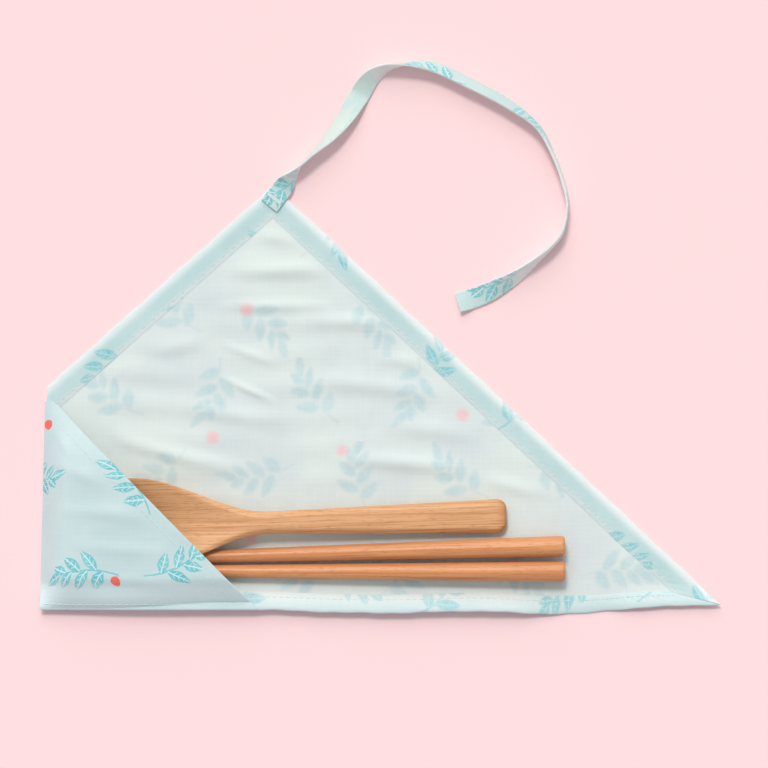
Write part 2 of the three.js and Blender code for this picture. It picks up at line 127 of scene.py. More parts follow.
class Tree:
    """Short calls for making and linking nodes."""

    def __init__(self, tree):
        self.tree = tree

    def add(self, kind, inputs=(), **settings):
        node = self.tree.nodes.new("ShaderNode" + kind)
        for name, value in settings.items():
            setattr(node, name, value)
        for name, value in dict(inputs).items():
            self.feed(node.inputs[name], value)
        return node

    def feed(self, socket, value):
        if isinstance(value, bpy.types.NodeSocket):
            self.tree.links.new(value, socket)
        else:
            socket.default_value = value

    def math(self, operation, *values, clamp=False):
        node = self.add("Math", enumerate(values), operation=operation, use_clamp=clamp)
        return node.outputs[0]

    def times(self, first, second):
        return self.math("MULTIPLY", first, second)

    def plus(self, first, second):
        return self.math("ADD", first, second)

    def minus(self, first, second):
        return self.math("SUBTRACT", first, second)

    def vector(self, operation, first, second):
        return self.add("VectorMath", {0: first, 1: second}, operation=operation).outputs[0]

    def split(self, vector):
        return self.add("SeparateXYZ", {0: vector}).outputs

    def join(self, x, y, z=0.0):
        return self.add("CombineXYZ", {0: x, 1: y, 2: z}).outputs[0]

    def turned(self, vector, angle):
        return self.add("VectorRotate", {"Vector": vector, "Angle": angle}, rotation_type="Z_AXIS").outputs[0]

    def fade(self, value, start, end, low=0.0, high=1.0):
        """A smooth step of value from low at start to high at end."""
        inputs = {"Value": value, "From Min": start, "From Max": end, "To Min": low, "To Max": high}
        return self.add("MapRange", inputs, interpolation_type="SMOOTHSTEP").outputs[0]

    def mix(self, share, first, second, blend="MIX"):
        node = self.add("Mix", {0: share, 6: first, 7: second}, data_type="RGBA", blend_type=blend)
        return node.outputs[2]

    def noise(self, vector, scale, detail=2.0, rough=0.5):
        inputs = {"Vector": vector, "Scale": scale, "Detail": detail, "Roughness": rough}
        return self.add("TexNoise", inputs).outputs[0]

    def flat(self):
        """The piece's flat coordinates in millimetres."""
        place = self.add("UVMap", uv_map="flat").outputs[0]
        return self.vector("MULTIPLY", place, (FLAT_UNIT, FLAT_UNIT, 0.0))


def material(name):
    made = bpy.data.materials.new(name)
    made.use_nodes = True
    made.node_tree.nodes.clear()
    return made, Tree(made.node_tree)


def finish_shader(tree, colour, rough, bump_height, bump_distance, sheen=0.0, specular=0.5, coat=0.0):
    bump = tree.add("Bump", {"Strength": 1.0, "Distance": bump_distance, "Height": bump_height})
    inputs = {
        "Base Color": colour,
        "Roughness": rough,
        "Normal": bump.outputs[0],
        "Sheen Weight": sheen,
        "Specular IOR Level": specular,
        "Coat Weight": coat,
        "Coat Roughness": 0.3,
    }
    shader = tree.add("BsdfPrincipled", inputs)
    tree.add("OutputMaterial", {0: shader.outputs[0]})


def new_group(name, settings, outputs):
    """A node group that takes a place and some settings."""
    group = bpy.data.node_groups.new(name, "ShaderNodeTree")
    group.interface.new_socket("Place", in_out="INPUT", socket_type="NodeSocketVector")
    for way, labels in (("INPUT", settings), ("OUTPUT", outputs)):
        for label in labels:
            group.interface.new_socket(label, in_out=way, socket_type="NodeSocketFloat")
    tree = Tree(group)
    given = group.nodes.new("NodeGroupInput").outputs
    result = group.nodes.new("NodeGroupOutput").inputs
    return group, tree, given, result


def leaf_group():
    """One leaf lying along +X from the origin: its blade, and the veins in it."""
    settings = ["Turn", "Length", "Width", "Edge"]
    group, tree, given, result = new_group("leaf", settings, ["Blade", "Vein"])
    x, y, _ = tree.split(tree.turned(given["Place"], given["Turn"]))
    share = tree.math("DIVIDE", x, given["Length"], clamp=True)
    left = tree.minus(1.0, share)
    lens = tree.times(tree.times(share, left), tree.plus(1.0, left))
    half = tree.times(lens, tree.times(given["Width"], 1.3))
    aside = tree.math("ABSOLUTE", y)
    over = tree.minus(aside, half)
    blade = tree.fade(over, given["Edge"], tree.times(given["Edge"], -1.0))
    blade = tree.times(blade, tree.fade(half, 0.02, 0.3))
    rib = tree.fade(aside, 0.42, 0.12)
    slant = tree.minus(x, tree.times(aside, 0.9))
    stripe = tree.math("PINGPONG", slant, 1.25)
    side_veins = tree.times(tree.fade(stripe, 0.26, 0.1), tree.fade(over, -0.35, -0.9))
    vein = tree.times(tree.math("MAXIMUM", rib, side_veins), blade)
    tree.feed(result["Blade"], blade)
    tree.feed(result["Vein"], vein)
    return group


# The leaves of a sprig: place along its stem, turn, length and width
SPRIG = (
    (-9.0, 0.95, 11.0, 4.6), (-6.0, -0.9, 11.5, 4.8), (-2.0, 0.85, 11.0, 4.6), (1.5, -0.8, 10.5, 4.4),
    (5.0, 0.7, 9.0, 4.0), (7.5, -0.62, 8.5, 3.8), (10.0, 0.05, 10.0, 4.4),
)


def print_group():
    """Leafy sprigs and single dots, each scattered in its own loose rows."""
    group, tree, given, result = new_group("print", ["Edge"], ["Leaf", "Vein", "Dot"])
    leaf = leaf_group()

    def scattered(size, stray, seed):
        """The place in its own cell of a loose grid like bricks, and a random number for that cell."""
        x, y, _ = tree.split(given["Place"])
        row = tree.math("FLOOR", tree.math("DIVIDE", y, size * 0.8))
        shifted = tree.plus(tree.math("DIVIDE", x, size), tree.times(row, 0.437))
        column = tree.math("FLOOR", shifted)
        cell = tree.join(column, row, seed)
        chance = tree.add("TexWhiteNoise", {"Vector": cell}, noise_dimensions="3D").outputs[1]
        one, two, three = tree.split(chance)
        in_x = tree.times(tree.minus(tree.minus(shifted, column), 0.5), size)
        in_y = tree.minus(y, tree.times(tree.plus(row, 0.5), size * 0.8))
        in_x = tree.plus(in_x, tree.times(tree.minus(one, 0.5), stray))
        in_y = tree.plus(in_y, tree.times(tree.minus(two, 0.5), stray))
        return in_x, in_y, three

    in_x, in_y, chance = scattered(47.0, 9.0, 3.0)
    turn = tree.times(chance, 2 * math.pi)
    x, y, _ = tree.split(tree.turned(tree.join(in_x, in_y), turn))
    bowed = tree.plus(y, tree.times(tree.times(x, x), 0.014))
    stem = tree.join(x, bowed)
    blade, vein = 0.0, 0.0
    for along, angle, length, width in SPRIG:
        inputs = {
            "Place": tree.vector("SUBTRACT", stem, (along, 0.0, 0.0)),
            "Turn": angle,
            "Length": length,
            "Width": width,
            "Edge": given["Edge"],
        }
        one = tree.add("Group", inputs, node_tree=leaf)
        blade = tree.math("MAXIMUM", blade, one.outputs["Blade"])
        vein = tree.math("MAXIMUM", vein, one.outputs["Vein"])
    outer = tree.plus(0.4, tree.times(given["Edge"], 0.7))
    inner = tree.minus(0.4, tree.times(given["Edge"], 0.5))
    stalk = tree.fade(tree.math("ABSOLUTE", bowed), outer, inner)
    stalk = tree.times(stalk, tree.fade(x, -16.5, -15.5))
    stalk = tree.times(stalk, tree.fade(x, 11.0, 10.0))
    faint = tree.times(given["Edge"], 0.33)
    stalk = tree.times(stalk, tree.minus(1.0, faint))
    tree.feed(result["Leaf"], tree.math("MAXIMUM", blade, stalk))
    tree.feed(result["Vein"], vein)

    in_x, in_y, chance = scattered(63.0, 26.0, 21.0)
    away = tree.add("VectorMath", {0: tree.join(in_x, in_y)}, operation="LENGTH").outputs[1]
    radius = tree.plus(2.1, tree.times(chance, 0.8))
    over = tree.minus(away, radius)
    dot = tree.fade(over, given["Edge"], tree.times(given["Edge"], -1.0))
    tree.feed(result["Dot"], dot)
    return group


PRINT = print_group()


def weave(tree, place, pitch):
    """Height of a plain weave, 0 to 1, with threads that vary in thickness."""
    x, y, _ = tree.split(place)
    across = tree.math("DIVIDE", x, pitch)
    up = tree.math("DIVIDE", y, pitch)
    over = tree.math("PINGPONG", tree.plus(tree.math("FLOOR", across), tree.math("FLOOR", up)), 1.0)
    warp = tree.math("ABSOLUTE", tree.math("SINE", tree.times(across, math.pi)))
    weft = tree.math("ABSOLUTE", tree.math("SINE", tree.times(up, math.pi)))
    under = tree.minus(1.0, over)
    threads = tree.plus(tree.times(warp, over), tree.times(weft, under))
    slub_place = tree.vector("MULTIPLY", place, (0.05, 1.6, 1.0))
    slub = tree.noise(slub_place, 1.0, 1.0)
    other_place = tree.vector("MULTIPLY", place, (1.6, 0.05, 1.0))
    other = tree.noise(other_place, 1.0, 1.0)
    return threads, tree.plus(slub, other)


def cotton(name, ground, deep, leaf, vein, dot, strengths, edge, pale):
    """Printed cotton: strengths say how much shows of its leaves, veins and dots, and edge how soft their
    outlines are; pale is the colour of painted light, mixed into the ground where the piece is marked with
    it."""
    made, tree = material(name)
    place = tree.flat()
    wander = tree.minus(tree.noise(place, 0.35, 2.0), 0.5)
    pushed = tree.vector("ADD", place, tree.join(wander, wander))
    design = tree.add("Group", {"Place": pushed, "Edge": edge}, node_tree=PRINT)
    threads, slub = weave(tree, place, 0.55)
    cloud = tree.noise(place, 0.022, 3.0, 0.6)
    colour = tree.mix(tree.fade(cloud, 0.35, 0.68), ground, deep)
    # Painted light: the ground turns pale where the piece is marked with it, and its leaves show less there
    painted_light_share = tree.add("Attribute", attribute_name="pale").outputs["Fac"]
    colour = tree.mix(painted_light_share, colour, pale)
    wash = tree.fade(tree.noise(place, 0.16, 3.0, 0.6), 0.3, 0.7)
    ink = tree.mix(wash, leaf[0], leaf[1])
    ink = tree.mix(tree.times(design.outputs["Vein"], strengths[1]), ink, vein)
    shows = tree.minus(strengths[0], tree.times(painted_light_share, 0.6))
    colour = tree.mix(tree.times(design.outputs["Leaf"], shows), colour, ink)
    colour = tree.mix(tree.times(design.outputs["Dot"], strengths[2]), colour, dot)
    # Painted shade between the weave's threads, and tone that varies with the slub
    shade = tree.plus(tree.times(threads, 0.04), tree.times(slub, 0.05))
    shade = tree.plus(shade, 0.93)
    colour = tree.mix(1.0, colour, tree.join(shade, shade, shade), "MULTIPLY")
    rough = tree.plus(0.78, tree.times(slub, 0.09))
    height = tree.plus(threads, tree.times(slub, 0.6))
    finish_shader(tree, colour, rough, height, 0.00006, sheen=0.12, specular=0.2)
    return made


# Two tones of the leaves, their veins, and the dots
PRINT_INKS = (rgb(112, 197, 208), rgb(145, 214, 219)), rgb(226, 244, 246), rgb(246, 118, 103)
FAINT_INKS = (rgb(170, 208, 219), rgb(192, 220, 226)), rgb(222, 234, 234), rgb(250, 196, 200)
# The pale colour of painted light on the hems, the ribbon and the pocket's inside
PAINTED_LIGHT_PALE = rgb(246, 249, 249)
# The printed side; its pale colour is painted light on the pocket's lower slope
PRINTED = cotton(
    "cotton_print", rgb(209, 228, 231), rgb(200, 222, 225), *PRINT_INKS,
    (1.0, 0.85, 1.0), 0.22, rgb(228, 247, 252),
)
INSIDE = cotton(
    "cotton_inside", rgb(226, 236, 233), rgb(219, 229, 231), *FAINT_INKS,
    (0.55, 0.2, 0.75), 1.6, PAINTED_LIGHT_PALE,
)
# A pressed hem with a washed-out print; painted light marked on each hem makes it paler at its edges than in
# its middle
HEMMED = cotton(
    "cotton_hem", rgb(203, 227, 229), rgb(193, 221, 223), *PRINT_INKS,
    (0.8, 0.45, 0.0), 0.7, PAINTED_LIGHT_PALE,
)
# The ribbon's two faces; their pale colour is painted light on the ribbon's shaded side
LAYERED = cotton(
    "cotton_layered", rgb(206, 229, 227), rgb(197, 223, 221), *PRINT_INKS,
    (0.9, 0.85, 0.0), 0.25, PAINTED_LIGHT_PALE,
)
LAYERED_INSIDE = cotton(
    "cotton_layered_inside", rgb(215, 232, 226), rgb(207, 227, 220), *FAINT_INKS,
    (0.4, 0.2, 0.6), 1.6, PAINTED_LIGHT_PALE,
)


def sewing_thread():
    made, tree = material("thread")
    x, y, _ = tree.split(tree.flat())
    twist = tree.math("SINE", tree.plus(tree.times(x, 9.0), tree.times(y, 5.0)))
    ply = tree.fade(twist, -1.0, 1.0)
    colour = tree.mix(ply, rgb(196, 216, 217), rgb(228, 240, 239))
    rough = tree.plus(0.55, tree.times(ply, 0.15))
    finish_shader(tree, colour, rough, ply, 0.00005, sheen=0.1, specular=0.3)
    return made


THREAD = sewing_thread()


def wood(name, light, middle, dark, vessel, streak, rough, coat, dark_end=None):
    """Wood or bamboo with its fibres along the piece's flat X, darker towards its end if that is given."""
    made, tree = material(name)
    place = tree.flat()
    bend = tree.noise(tree.vector("MULTIPLY", place, (0.02, 0.12, 1.0)), 1.0, 2.0)
    x, y, _ = tree.split(place)
    y = tree.plus(y, tree.times(bend, 1.6))
    grain = tree.join(x, y)
    broad = tree.noise(tree.vector("MULTIPLY", grain, (0.006, 0.33, 1.0)), 1.0, 3.0, 0.6)
    fine = tree.noise(tree.vector("MULTIPLY", grain, (0.02, streak, 1.0)), 1.0, 3.0, 0.65)
    flecks = tree.noise(tree.vector("MULTIPLY", grain, (0.22, 3.6, 1.0)), 1.0, 1.0)
    colour = tree.mix(tree.fade(broad, 0.3, 0.7), light, middle)
    colour = tree.mix(tree.times(tree.fade(fine, 0.45, 0.68), 0.7), colour, dark)
    fleck = tree.fade(flecks, 0.63, 0.72)
    colour = tree.mix(tree.times(fleck, 0.5), colour, vessel)
    if dark_end is not None:
        colour = tree.mix(tree.fade(x, dark_end - 6.0, dark_end + 3.0), colour, dark)
    gloss = tree.plus(rough, tree.times(fine, 0.16))
    height = tree.minus(tree.times(fine, 0.6), tree.times(fleck, 0.5))
    finish_shader(tree, colour, gloss, height, 0.00008, specular=0.4, coat=coat)
    return made


BAMBOO = wood(
    "bamboo", rgb(230, 178, 131), rgb(216, 161, 112), rgb(178, 116, 68), rgb(140, 84, 44),
    1.5, 0.42, 0.06, SPOON_LENGTH,
)
STICK_WOOD = wood(
    "stick_wood", rgb(221, 157, 105), rgb(208, 138, 87), rgb(182, 107, 59), rgb(152, 83, 43),
    1.1, 0.36, 0.12,
)


# Meshes

def ease(t):
    t = np.clip(t, 0, 1)
    return t * t * (3 - 2 * t)


def lerp(a, b, t):
    return a + (b - a) * t


def unit(vectors):
    """Vectors at length 1."""
    return vectors / np.linalg.norm(vectors, axis=-1, keepdims=True)


def ring(side, up, count):
    """Angles evenly round a line, and the ways out from it there, given two of them."""
    turn = 2 * np.pi * np.arange(count) / count
    return turn, side[..., None, :] * np.cos(turn)[:, None] + up[..., None, :] * np.sin(turn)[:, None]


def spread(along, aside):
    """Flat coordinates from places along a piece and aside, each broadcast over the other."""
    return np.stack(np.broadcast_arrays(along, aside), -1)


def piece(name, points, faces, flat, materials, which=None):
    """A smooth mesh from points in millimetres, with its flat coordinates as a UV map."""
    mesh = bpy.data.meshes.new(name)
    mesh.from_pydata(((points - ORIGIN) / 1000).tolist(), [], [list(map(int, f)) for f in faces])
    for one in materials:
        mesh.materials.append(one)
    if which is not None:
        mesh.polygons.foreach_set("material_index", which)
    layer = mesh.uv_layers.new(name="flat")
    corners = np.empty(len(mesh.loops), np.int32)
    mesh.loops.foreach_get("vertex_index", corners)
    layer.data.foreach_set("uv", (np.asarray(flat, float)[corners] / FLAT_UNIT).astype(np.float32).ravel())
    whole = bmesh.new()
    whole.from_mesh(mesh)
    bmesh.ops.recalc_face_normals(whole, faces=whole.faces)
    whole.to_mesh(mesh)
    whole.free()
    mesh.polygons.foreach_set("use_smooth", [True] * len(mesh.polygons))
    mesh.set_sharp_from_angle(angle=math.radians(SHARP_ANGLE))
    return link(name, mesh)


def mark_painted_light(made, share):
    """Marks painted light on a piece: how pale its cloth is made at each of its points, 0 to 1."""
    marks = made.data.attributes.new("pale", "FLOAT", "POINT")
    marks.data.foreach_set("value", np.asarray(share, np.float32).ravel())


def slab(name, top, bottom, faces, flat, materials):
    """A sheet between two skins of the same faces, closed along their rim."""
    count = len(top)
    under = [[i + count for i in reversed(face)] for face in faces]
    steps = {(face[i - 1], face[i]) for face in faces for i in range(len(face))}
    walls = [[b, a, a + count, b + count] for a, b in steps if (b, a) not in steps]
    which = [0] * len(faces) + [1] * (len(under) + len(walls))
    every = [*map(list, faces), *under, *walls]
    return piece(name, np.vstack([top, bottom]), every, np.vstack([flat, flat]), materials, which)


def grid_faces(rows, columns, closed=False):
    """Faces between a grid's points, listed row after row; closed joins the last column to the first."""
    faces = []
    for i in range(rows - 1):
        for j in range(columns if closed else columns - 1):
            k = (j + 1) % columns
            faces.append([i * columns + j, i * columns + k, (i + 1) * columns + k, (i + 1) * columns + j])
    return faces


def loft(name, rings, flat, materials):
    """A skin over equally long closed rings, with a flat face at each end."""
    rows, columns = rings.shape[:2]
    faces = grid_faces(rows, columns, closed=True)
    faces.append(list(range(columns)))
    faces.append(list(range((rows - 1) * columns, rows * columns)))
    return piece(name, rings.reshape(-1, 3), faces, flat.reshape(-1, 2), materials)


# The cloth as it lies: its edges, its soft creases and where it is pressed flat

def fold_across(up):
    """Where the folded left edge is."""
    return SHOULDER[0] * up / SHOULDER[1]


OUTLINE = np.array([(0.0, 0.0), BOTTOM_TURN, TIP_LOW, TIP_HIGH, APEX, SHOULDER])
MOUTH_FOOT = np.array([POCKET_LENGTH, 0.0])
MOUTH_TOP = np.array([fold_across(POCKET_TOP) + MOUTH_CORNER, POCKET_TOP])
MOUTH_ALONG = unit(MOUTH_TOP - MOUTH_FOOT)

# Soft creases: across and up at both ends, half width and height
CREASES = (
    (80, 153, 136, 151, 3.8, 2.1),
    (74, 137, 134, 134.5, 2.6, 1.5),
    (112, 130.5, 172, 126, 3.4, 1.6),
    (78, 120, 108, 109.5, 1.6, 1.0),
    (80, 105.5, 108, 90, 1.6, 1.0),
    (28, 77, 92, 63.5, 3.6, 1.9),
    (126, 66.5, 196, 62, 3.6, 1.9),
    (120, 101, 182, 96, 4.4, 1.4),
    (46, 112, 74, 124, 3.8, 1.0),
    (150, 84, 200, 74, 4.2, 1.3),
    (90, 168, 124, 166, 3.2, 1.2),
    (60, 92, 112, 84, 3.4, 1.1),
    (150, 113, 176, 108, 2.8, 0.9),
    (196, 58, 232, 48, 3.2, 1.0),
    (258, 24, 280, 12, 2.6, 0.6),
)


def from_edges(across, up):
    """How far inside the cloth's outline a place is."""
    least = np.full(np.shape(across), 1e9)
    for start, end in zip(OUTLINE, np.roll(OUTLINE, -1, 0)):
        along = unit(end - start)
        least = np.minimum(least, along[0] * (up - start[1]) - along[1] * (across - start[0]))
    return least


def crease(across, up, creases):
    """Height that soft creases add, each a wandering ridge that fades at its ends."""
    height = np.zeros(np.shape(across))
    for u0, v0, u1, v1, wide, high in creases:
        length = math.hypot(u1 - u0, v1 - v0)
        along = ((across - u0) * (u1 - u0) + (up - v0) * (v1 - v0)) / length ** 2
        aside = ((across - u0) * (v1 - v0) - (up - v0) * (u1 - u0)) / length
        aside = aside + 0.39 * wide * np.sin(3.1 * along + u0)
        taper = np.sin(np.pi * np.clip(along, 0, 1)) ** 1.2
        height = height + high * taper * np.exp(-(aside / wide) ** 2)
    return height


def ripple(across, up):
    """Height of the cloth above the table."""
    waves = np.sin(up / 2.3 + 2.2 * np.sin(across / 41) + across / 90) * np.sin(across / 23 + up / 37)
    waves = 0.2 * (1 + waves) * (1 + 0.5 * np.sin(across / 57 + 1))
    past_mouth = MOUTH_ALONG[1] * (across - MOUTH_FOOT[0]) - MOUTH_ALONG[0] * (up - MOUTH_FOOT[1])
    free = ease((from_edges(across, up) - 8) / 10) * ease((past_mouth - 1) / 10)
    clear = np.maximum(ease((up - 45) / 12), ease((across - 248) / 8))
    return (waves + crease(across, up, CREASES)) * free * clear


# The bottom edge's sags towards the viewer, under the cutlery and where the tail begins: middle, reach to the
# left and to the right, and depth
SAGS = ((152, 62, 62, 1.6), (234, 50, 42, 2.2))


def bow(across, up):
    """How far each place moves up, below zero where the edge sags."""
    depth = np.zeros(np.shape(across))
    for middle, left, right, deep in SAGS:
        side = (across - middle) / np.where(across < middle, left, right)
        depth = depth + deep * np.clip(1 - side ** 2, 0, 1) ** 2
    return -depth * ease(1 - up / 50)


def lift(across, up):
    """How far the bottom edge stands off the table; it lies flat at the tail's fold."""
    along = (0.6 + 0.4 * ease(across / 50)) * (0.93 + 0.07 * np.sin(across / 27 + 0.4))
    from_fold = across - TAIL_FOLD
    before = ease((-from_fold - BEND - 2) / 34)
    after = 0.55 * ease((from_fold - BEND - 2) / 18)
    return EDGE_LIFT * along * np.where(from_fold < 0, before, after) * ease(1 - up / 11)


def lay(across, up, height):
    """Places on the flat cloth as they lie on the table."""
    across, up, height = np.broadcast_arrays(across, up, height)
    return np.stack([across, up + bow(across, up), height + ripple(across, up) + lift(across, up)], -1)


def lines(start, end, folds, step=1.5, fine=0.5):
    """Places from start to end, closer together near each fold."""
    places = [start]
    while places[-1] < end - 1e-6:
        near = min((abs(places[-1] - fold) for fold in folds), default=1e9)
        places.append(min(end, places[-1] + (fine if near < BEND + 2 else step)))
    return np.array(places)


def panel(name, polygon, across, up):
    """The part of the cloth inside a convex outline, as a slab on a grid of lines."""
    mesh = bmesh.new()
    points = [[mesh.verts.new((x, y, 0)) for x in across] for y in up]
    for i in range(len(up) - 1):
        for j in range(len(across) - 1):
            mesh.faces.new((points[i][j], points[i][j + 1], points[i + 1][j + 1], points[i + 1][j]))
    for start, end in zip(polygon, np.roll(polygon, -1, 0)):
        outward = (end[1] - start[1], start[0] - end[0], 0)
        everything = mesh.verts[:] + mesh.edges[:] + mesh.faces[:]
        bmesh.ops.bisect_plane(
            mesh, geom=everything, plane_co=(*start, 0), plane_no=outward, clear_outer=True, dist=1e-5,
        )
    mesh.verts.index_update()
    flat = np.array([v.co[:2] for v in mesh.verts])
    faces = [[v.index for v in face.verts] for face in mesh.faces]
    mesh.free()
    top = lay(flat[:, 0], flat[:, 1], CLOTH)
    bottom = lay(flat[:, 0], flat[:, 1], 0)
    return slab(name, top, bottom, faces, flat, [INSIDE, PRINTED])


def right_edge_up(across):
    """How high the right leg is at a place across."""
    return lerp(TIP_HIGH[1], APEX[1], (across - TIP_HIGH[0]) / (APEX[0] - TIP_HIGH[0]))


split_top = np.array([SPLIT, right_edge_up(SPLIT)])
split_foot = np.array([SPLIT, 0.0])
wrap_cloth = panel(
    "wrap_cloth",
    np.array([(0, 0), split_foot, split_top, APEX, SHOULDER]),
    lines(0, SPLIT, []),
    lines(0, APEX[1], [FLAP_FOLD]),
)
tail_cloth = panel(
    "tail_cloth",
    np.array([split_foot, BOTTOM_TURN, TIP_LOW, TIP_HIGH, split_top]),
    lines(SPLIT, TIP_LOW[0], [TAIL_FOLD]),
    lines(0, split_top[1] + 1, []),
)


# Stitches

def stitches(name, path, length, pitch=3.0, long=2.3, start=1.5):
    """Short threads along a path; path gives points and the cloth's outward normals at distances along it."""
    steps = 7
    sides = THREAD_SIDES
    count = max(1, int((length - start - long) / pitch) + 1)
    begin = start + pitch * np.arange(count)
    share = np.linspace(0, 1, steps)
    where = begin[:, None] + long * share[None, :]
    middle, normal = path(where.ravel())
    middle = middle.reshape(count, steps, 3)
    normal = normal.reshape(count, steps, 3)
    side = np.cross(unit(middle[:, -1:] - middle[:, :1]), normal)
    rise = 0.17 * np.sin(np.pi * share) ** 0.6 - 0.09
    middle = middle + normal * rise[None, :, None]
    thick = THREAD_RADIUS * np.clip(1 - (2 * share - 1) ** 6, 0.12, 1) ** 0.5
    turn, out = ring(side, normal, sides)
    points = middle[:, :, None] + out * thick[None, :, None, None]
    one = grid_faces(steps, sides, closed=True)
    one += [list(range(sides)), list(range((steps - 1) * sides, steps * sides))]
    faces = [[i + k * steps * sides for i in face] for k in range(count) for face in one]
    flat = spread(where[:, :, None], turn * THREAD_RADIUS)
    return piece(name, points.reshape(-1, 3), faces, flat.reshape(-1, 2), [THREAD])


# Hems

def meet(point, along, other, other_along):
    """Where two lines cross."""
    gap = other - point
    step = (gap[0] * other_along[1] - gap[1] * other_along[0]) / (
        along[0] * other_along[1] - along[1] * other_along[0]
    )
    return point + along * step


def edge_of(start, end, width):
    """An edge's direction, and where its hem's inner line starts."""
    along = unit(end - start)
    inwards = np.array([-along[1], along[0]])
    return along, start + inwards * width


def hem_section(width):
    """The hem's section, once round: distance in from the edge, and height."""
    seam = width - STITCH_INSET
    top = [
        (-0.02, 0.03), (-0.22, 0.1), (-0.38, 0.26), (-0.46, 0.48), (-0.42, 0.7), (-0.22, 0.92), (0.15, 1.1),
        (0.7, 1.25), (1.4, 1.36), (2.2, 1.42),
    ]
    top += list(zip(np.linspace(2.9, seam - 0.8, 6), np.linspace(1.43, 1.2, 6)))
    top += [
        (seam - 0.4, 1.12), (seam, 1.04), (seam + 0.4, 1.02), (seam + 0.8, 0.97), (width - 0.4, 0.88),
        (width - 0.05, 0.77), (width + 0.3, 0.64), (width + 0.55, 0.53), (width + 0.4, 0.5),
    ]
    return np.array(top + [(width * 0.66, 0.55), (width * 0.33, 0.55), (0.3, 0.55), (0.02, 0.4)])


def hem(name, outer, inner, width, pale, folds=(), fold_axis=0):
    """A turned hem between an outer and an inner line, each given by its two ends, and its row of stitches.
    Pale says how much painted light it has at places across and depths in from its edge."""
    length = np.linalg.norm(outer[1] - outer[0])
    portions = [
        (fold - outer[0][fold_axis]) / (outer[1][fold_axis] - outer[0][fold_axis]) * length for fold in folds
    ]
    places = lines(0, length, portions, step=1.4, fine=0.6)
    section = hem_section(width)
    seam = width - STITCH_INSET

    def spot(distance, depth):
        """The place on the flat cloth at a distance along the edge and a depth in from it."""
        t = (distance / length)[..., None]
        rim = lerp(*outer, t)
        return lerp(rim, lerp(*inner, t), (depth / width)[..., None])

    depth = np.broadcast_to(section[:, 0], (len(places), len(section)))
    level = np.broadcast_to(section[:, 1], (len(places), len(section))).copy()
    far = np.broadcast_to(places[:, None], depth.shape)
    pull = np.sin(far * 1.02 + 0.9 * np.sin(far / 9.0)) * np.exp(-((depth - seam) / 2.4) ** 2)
    level[level > 0.85] += (0.08 * pull)[level > 0.85]
    wavy = np.where(depth < 0.6, 0.14 * np.sin(far / 5.3) + 0.1 * np.sin(far / 2.1 + 2), 0)
    place = spot(far, depth + wavy)
    along = (outer[1] - outer[0]) / length
    inwards = np.array([-along[1], along[0]])
    flat = place - (2 * ((place - outer[0]) @ inwards)[..., None] + HEM_SHIFT) * inwards
    rings = lay(place[..., 0], place[..., 1], level)
    made = loft(name, rings, flat, [HEMMED])
    # Painted light on the hem, as its pale function gives it
    mark_painted_light(made, pale(place[..., 0], depth))

    def seam_path(distance):
        place = spot(distance, np.full(distance.shape, seam))
        points = lay(place[:, 0], place[:, 1], STITCH_LEVEL)
        return points, np.broadcast_to(UP, points.shape)

    sewn = stitches(name + "_stitches", seam_path, length - 3)
    return made, sewn


bottom_along, bottom_inner = edge_of(np.zeros(2), BOTTOM_TURN, BOTTOM_HEM)
right_along, right_inner = edge_of(TIP_HIGH, APEX, LEG_HEM)
left_along, left_inner = edge_of(APEX, SHOULDER, LEG_HEM)
tail_meet = meet(bottom_inner, bottom_along, right_inner, right_along)
apex_meet = meet(right_inner, right_along, left_inner, left_along)
corner_meet = meet(left_inner, left_along, np.zeros(2), unit(SHOULDER))
split_inner = meet(right_inner, right_along, split_foot, np.array([0.0, 1.0]))
bottom_split_inner = np.array([SPLIT, BOTTOM_HEM])


def painted_light_bottom(across, depth):
    """Painted light: a little paler all along, and paler still beside the cutlery, against its shadow there.
    """
    beside_cutlery = ease((across - 88) / 14) * (1 - ease((across - 205) / 33))
    return 0.22 + (0.12 + 0.3 * ease((depth - 2.5) / 4)) * beside_cutlery


def painted_light_right(across, depth):
    """A painted highlight along its outer edge, and a little painted light against the shade along its inner
    one.
    """
    return 0.75 * (1 - ease((depth - 0.4) / 4.0)) + 0.35 * ease((depth - 6.5) / 3.6)


def painted_light_left(across, depth):
    """A painted highlight along its outer edge, and painted light against the shade along its inner one."""
    return 0.5 * (1 - ease((depth - 0.6) / 3.8)) + 0.5 * ease((depth - 6.5) / 3.6)


bottom_hem, bottom_sewn = hem(
    "bottom_hem", (np.zeros(2), split_foot), (np.array([0.2, BOTTOM_HEM]), bottom_split_inner),
    BOTTOM_HEM, painted_light_bottom,
)
tail_low_hem, tail_low_sewn = hem(
    "tail_low_hem", (split_foot, TIP_LOW), (bottom_split_inner, tail_meet),
    BOTTOM_HEM, painted_light_bottom, [TAIL_FOLD],
)
tail_high_hem, tail_high_sewn = hem(
    "tail_high_hem", (TIP_HIGH, split_top), (tail_meet, split_inner),
    LEG_HEM, painted_light_right, [TAIL_FOLD],
)
right_hem, right_sewn = hem(
    "right_hem", (split_top, APEX), (split_inner, apex_meet),
    LEG_HEM, painted_light_right, [FLAP_FOLD], 1,
)
left_hem, left_sewn = hem(
    "left_hem", (APEX, SHOULDER), (apex_meet, corner_meet),
    LEG_HEM, painted_light_left, [FLAP_FOLD + 1], 1,
)


# Pocket: the corner turned over the cutlery

POCKET_FOOT = 1.4
POCKET_ROOF = 13.71
BOWL_LOW, BOWL_HIGH = 15.18, 58.78
LEFT_RAMP = 12.75
SEAM_BAND = (0.4, 3.0)
SEAM_STITCH_UP = 2.2
MOUTH_STITCH_INSET = 7.4
MOUTH_SEWN = 118.0
MOUTH_TURN_UNDER = 11.2
FOLD_RADIUS = 0.7
FOLD_LEVEL = 0.95
MOUTH_RADIUS = 0.47
